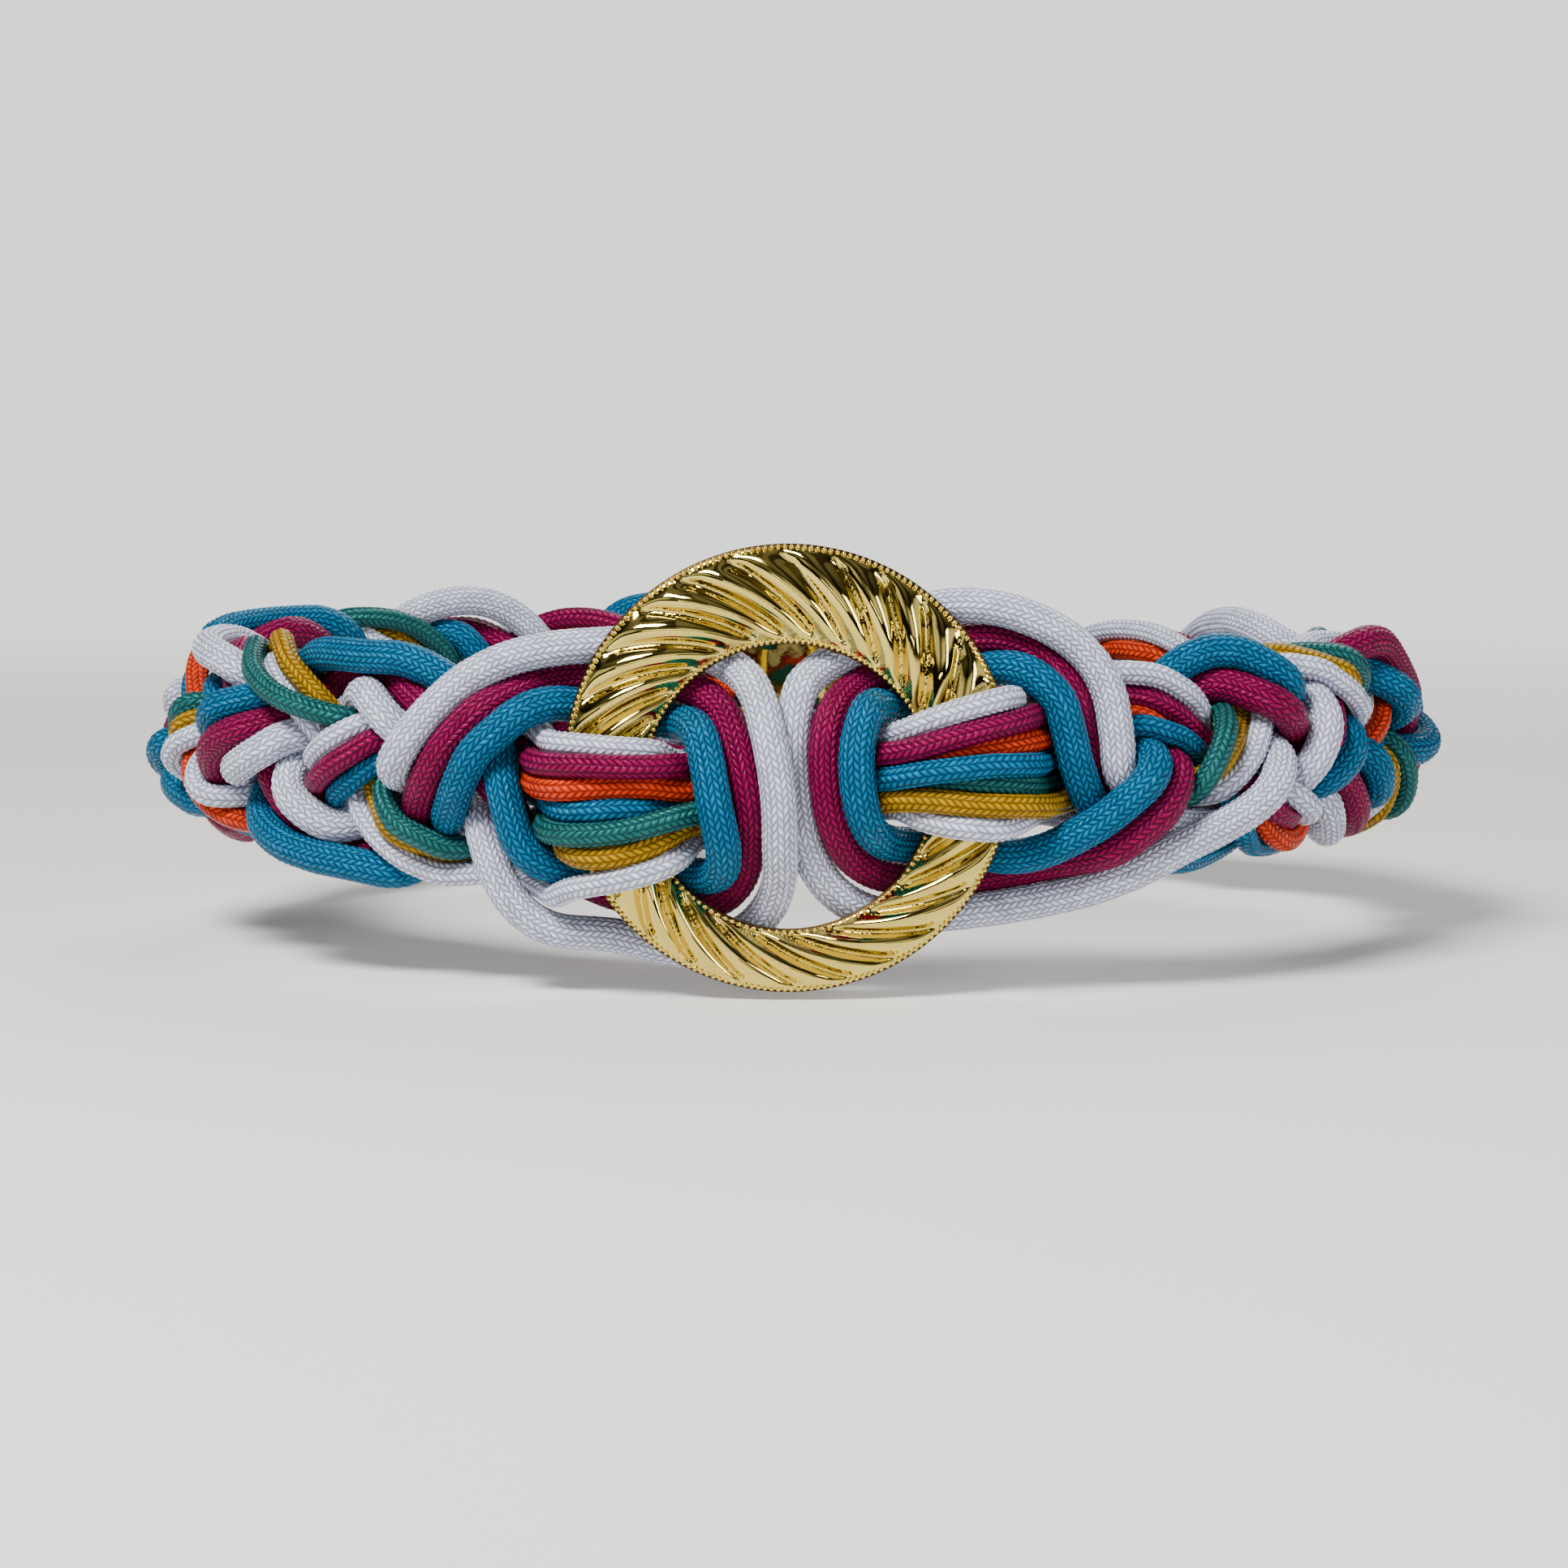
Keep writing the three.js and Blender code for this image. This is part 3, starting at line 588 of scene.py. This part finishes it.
# A cord's surface: a grid rolled round the line, its rows leaning one way and the other by columns
def makeCord(cord, materials):
    shape = cord["shape"]
    steps = 2 * shape["columns"]  # each column has a middle row and shares its borders
    line = smoothCurve(cord["line"], shape["pitch"] / 2)
    rows = len(line) - 1
    mesh, shareAround, shareAlong = gridMesh(cord["name"], steps, rows)
    around = np.round(shareAround * steps).astype(int)
    along = np.round(shareAlong * rows).astype(int)
    border = around % 2 == 0
    column = around // 2
    turn = np.where(column % 2 == 0, 1.0, -1.0)
    place = np.clip(along + np.where(border, turn * braid["lean"], 0.0), 0, rows)
    crests = shape["crest"] * randomHeights.uniform(*cordRelief["crests"], (steps + 1, rows + 1))
    height = np.where((along + column) % 2 == 1, crests[around, along], -shape["groove"])
    height[border] = -cordRelief["border"] * shape["groove"]
    height[(along == 0) | (along == rows)] = -shape["groove"]
    radius = (shape["radius"] + height)[:, None]
    angle = (around / steps * 2 * math.pi)[:, None]
    known = np.arange(rows + 1)
    centre, side, up = (valuesAt(place, known, table) for table in (line, *lineFrames(line)))
    rolled = centre + (side * np.cos(angle) + up * np.sin(angle)) * radius
    mesh.vertices.foreach_set("co", rolled.ravel())
    loops = np.zeros(len(mesh.loops), int)
    mesh.loops.foreach_get("vertex_index", loops)
    layer = mesh.uv_layers.new(name="braid")
    uv = np.stack([around[loops], place[loops]], axis=1) / 2
    layer.data.foreach_set("uv", uv.ravel())
    closed = bmesh.new()
    closed.from_mesh(mesh)
    bmesh.ops.remove_doubles(closed, verts=closed.verts, dist=weld["surface"])
    bmesh.ops.holes_fill(closed, edges=[e for e in closed.edges if e.is_boundary])
    bmesh.ops.recalc_face_normals(closed, faces=closed.faces)
    smoothFaces(closed.faces)
    closed.to_mesh(mesh)
    closed.free()
    piece = addObject(cord["name"], mesh)
    mesh.materials.append(materials[cord["colour"]])
    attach(piece, "root")
    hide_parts(cord["node"])


def makeCords(materials):
    cords = []
    for node in sorted(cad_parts):
        kind = node.split("_")[0]
        if kind not in cordShape:
            continue
        colour = next(name for name in braidColours if name in node)
        line = smoothCurve(sectionMiddles(node), settling["step"])
        cords.append({"node": node, "name": node.replace("_cord", "_braid"), "colour": colour,
                      "shape": cordShape[kind], "line": line})
    settleCords(cords)
    print("cords settled")
    for cord in cords:
        makeCord(cord, materials)
    print("cords braided")


# Ring
ringShape = {
    "outer": 0.0445,
    "hole": 0.0283,
    "drop": 0.0037,  # the hole's middle lies below the rim's
    "thickness": 0.0056,
    "rim": 0.0022,
    "place": (0, -0.093, 0.001),
    "tilt": 4,
    "bandSteps": 28,
    "dome": 0.55,  # power of the arch across the band, lower is flatter on top
    "lip": 0.05,  # share of the band that the flutes leave plain at each edge
    "steep": 0.12,  # faces whose normals rise less than this belong to the sharp walls
}
flutes = {
    "count": 26,
    "steps": 24,  # of the mesh round the ring, in each flute
    "depth": 0.0024,
    "depths": (0.8, 0.35),  # share of the depth that every flute has, and what a deeper one adds
    "mix": 2.4,  # sets how the deeper ones follow each other
    "swirl": 31,
    "bow": 0.06,
    "round": 0.95,  # power of a flute's section
    "start": 2.5,  # how soon a flute gets its whole depth, from each lip
}
beads = {"outer": 210, "inner": 134, "radius": 0.0005, "inset": 0.0006, "up": 0.0026, "detail": 2}


def holeRadius(angle):
    drop = ringShape["drop"]
    return -drop * np.sin(angle) + np.sqrt(ringShape["hole"] ** 2 - (drop * np.cos(angle)) ** 2)


def ringMatrix():
    lean = math.pi / 2 - math.radians(ringShape["tilt"])
    return Matrix.Translation(ringShape["place"]) @ Matrix.Rotation(lean, 4, "X")


def bandHeight(angle, across):
    lip, rim = ringShape["lip"], ringShape["rim"]
    inside = np.clip((across - lip) / (1 - 2 * lip), 0, 1)
    arch = np.sin(math.pi * inside)
    dome = rim + (ringShape["thickness"] - rim) * arch ** ringShape["dome"]
    phase = flutes["count"] * (angle - math.radians(flutes["swirl"]) * (inside + flutes["bow"] * arch))
    number = np.floor(phase / (2 * math.pi) + 0.5) % flutes["count"]
    least, more = flutes["depths"]
    depth = flutes["depth"] * (least + more * np.sin(number * flutes["mix"]) ** 2)
    ridge = np.abs(np.cos(phase / 2)) ** flutes["round"]
    return dome - depth * (1 - ridge) * np.clip(flutes["start"] * arch, 0, 1)


def makeRing(gold, gapShadeGold):
    band = ringShape["bandSteps"]
    section = band + 4  # the face, then down the rim, across the back and up the hole's edge
    mesh, shareAround, shareAcross = gridMesh("fluted_ring", flutes["count"] * flutes["steps"], section)
    angle = shareAround * 2 * math.pi
    step = np.round(shareAcross * section).astype(int)
    across = np.interp(step, [0, band, band + 1, band + 3, band + 4], [0, 1, 1, 0, 0])
    hole = holeRadius(angle)
    radius = hole + (ringShape["outer"] - hole) * across
    height = np.where(step <= band, bandHeight(angle, across), 0.0)
    height = np.where(step == section, bandHeight(angle, np.zeros_like(angle)), height)
    places = np.stack([radius * np.cos(angle), radius * np.sin(angle), height], axis=1)
    mesh.vertices.foreach_set("co", places.ravel())
    ring = bmesh.new()
    ring.from_mesh(mesh)
    bmesh.ops.remove_doubles(ring, verts=ring.verts, dist=weld["surface"])
    bmesh.ops.recalc_face_normals(ring, faces=ring.faces)
    for face in ring.faces:
        face.smooth = abs(face.normal.z) > ringShape["steep"]
        middle = face.calc_center_median()
        inner = float(holeRadius(math.atan2(middle.y, middle.x)))
        share = (math.hypot(middle.x, middle.y) - inner) / (ringShape["outer"] - inner)
        # the edge strips under the beads take the darker gold, painted shade between the beads
        face.material_index = 1 if min(share, 1 - share) < ringShape["lip"] else 0
    addBeads(ring)
    bmesh.ops.transform(ring, matrix=ringMatrix(), verts=ring.verts)
    ring.to_mesh(mesh)
    ring.free()
    piece = addObject("fluted_ring", mesh)
    mesh.materials.append(gold)
    mesh.materials.append(gapShadeGold)
    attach(piece, "root")
    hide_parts("ring")
    print("ring made")


def addBeads(ring):
    for edge in ("outer", "inner"):
        for i in range(beads[edge]):
            angle = 2 * math.pi * i / beads[edge]
            if edge == "outer":
                reach = ringShape["outer"] - beads["inset"]
            else:
                reach = holeRadius(angle) + beads["inset"]
            place = Matrix.Translation((reach * math.cos(angle), reach * math.sin(angle), beads["up"]))
            made = bmesh.ops.create_icosphere(ring, subdivisions=beads["detail"], radius=beads["radius"],
                                              matrix=place)
            smoothFaces({f for v in made["verts"] for f in v.link_faces})


# Sleeve: the CAD sleeve's shape with softened edges
sleeve = {"flat": math.radians(2), "sharp": math.radians(50), "edge": 0.0004, "segments": 3, "round": 0.5}


def makeSleeve(gold):
    body = solidOf("sleeve")
    bmesh.ops.dissolve_limit(body, angle_limit=sleeve["flat"], verts=body.verts, edges=body.edges)
    sharp = [e for e in body.edges if e.calc_face_angle(0) > sleeve["sharp"]]
    bmesh.ops.bevel(body, geom=sharp, offset=sleeve["edge"], segments=sleeve["segments"],
                    profile=sleeve["round"], affect="EDGES", material=-1, clamp_overlap=True)
    bmesh.ops.recalc_face_normals(body, faces=body.faces)
    smoothFaces(body.faces)
    mesh = meshOf("gold_sleeve", body)
    piece = addObject("gold_sleeve", mesh)
    mesh.materials.append(gold)
    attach(piece, "root")
    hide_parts("sleeve")
    print("sleeve made")


# Floor, which fades into the backdrop
floorLook = {
    "size": 3,
    "below": 0.0015,
    "tone": (240, 238, 234),
    "roughness": 0.9,
    "specular": 0.1,
    "fadeFrom": 0.35,
    "fadeTo": 1.2,
}


def addFloor():
    plane = bmesh.new()
    bmesh.ops.create_grid(plane, x_segments=1, y_segments=1, size=floorLook["size"] / 2)
    low = min(corner[2] for corner in cadBox) - floorLook["below"]
    bmesh.ops.translate(plane, vec=(0, 0, low), verts=plane.verts)
    mesh = meshOf("floor", plane)
    floor = addObject("floor", mesh)
    material, tree, shader = newMaterial("floorPaint")
    shader.inputs["Base Color"].default_value = linear(*floorLook["tone"])
    shader.inputs["Roughness"].default_value = floorLook["roughness"]
    shader.inputs["Specular IOR Level"].default_value = floorLook["specular"]
    place = tree.nodes.new("ShaderNodeTexCoord")
    length = tree.nodes.new("ShaderNodeVectorMath")
    length.operation = "LENGTH"
    tree.links.new(place.outputs["Object"], length.inputs[0])
    fade = addRange(tree, length.outputs["Value"], floorLook["fadeFrom"], floorLook["fadeTo"], 1, 0)
    fade.interpolation_type = "SMOOTHSTEP"
    tree.links.new(fade.outputs[0], shader.inputs["Alpha"])
    mesh.materials.append(material)


addCamera()
addLights()
addWorld()
makeCords(makeBraidMaterials())
goldPlate = makeGold("goldPlate", goldFinish)
makeRing(goldPlate, makeGold("beadGapShadeGold", beadGapShade))
makeSleeve(goldPlate)
addFloor()
